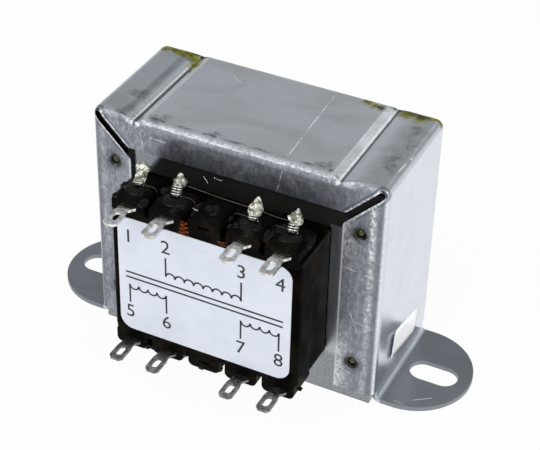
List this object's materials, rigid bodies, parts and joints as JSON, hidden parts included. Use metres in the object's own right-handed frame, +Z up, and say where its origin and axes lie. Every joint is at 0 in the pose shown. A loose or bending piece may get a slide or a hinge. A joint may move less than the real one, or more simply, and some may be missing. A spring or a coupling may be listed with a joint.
{
  "type": "chassis mount transformer",
  "caption": "Small mains transformer: a laminated core in a folded steel frame with two slotted feet, and a coil with solder tags above and below its label.",
  "frame": {"origin": "midway between the two fixing slots, on the plane that the feet and the core stand on", "axes": "+Z up, +X along the line of the fixing slots, -Y out of the labelled face with the solder tags"},
  "size_m": [0.0834, 0.0535, 0.0467],
  "materials": {
    "galvanised_sheet": "galvanised, dull",
    "lamination_steel": "semi-gloss",
    "moulded_nylon": "gloss",
    "enamelled_copper": "enamelled",
    "polyester_film": "clear film",
    "black_tape": "gloss",
    "tinned_wire": "tinned",
    "tinned_brass": "tinned",
    "solder": "bright",
    "label_paper": "matt"
  },
  "bodies": {
    "root": {"coil_cover": "moulded_nylon", "coil_former": "moulded_nylon", "core_e_stack": "lamination_steel", "core_i_stack": "lamination_steel", "front_label": "label_paper", "mounting_frame": "galvanised_sheet", "primary_joint_1": "solder", "primary_joint_2": "solder", "primary_joint_3": "solder", "primary_joint_4": "solder", "primary_layer_insulation": "polyester_film", "primary_leads": "enamelled_copper", "primary_links": "tinned_wire", "primary_outer_wrap": "black_tape", "primary_tag_1": "tinned_brass", "primary_tag_2": "tinned_brass", "primary_tag_3": "tinned_brass", "primary_tag_4": "tinned_brass", "primary_winding_inner": "enamelled_copper", "primary_winding_outer": "enamelled_copper", "secondary_joint_1": "solder", "secondary_joint_2": "solder", "secondary_joint_3": "solder", "secondary_joint_4": "solder", "secondary_layer_insulation": "polyester_film", "secondary_leads": "enamelled_copper", "secondary_outer_wrap": "black_tape", "secondary_tag_1": "tinned_brass", "secondary_tag_2": "tinned_brass", "secondary_tag_3": "tinned_brass", "secondary_tag_4": "tinned_brass", "secondary_winding_inner": "enamelled_copper", "secondary_winding_outer": "enamelled_copper", "side_sticker": "label_paper"}
  },
  "joints": []
}
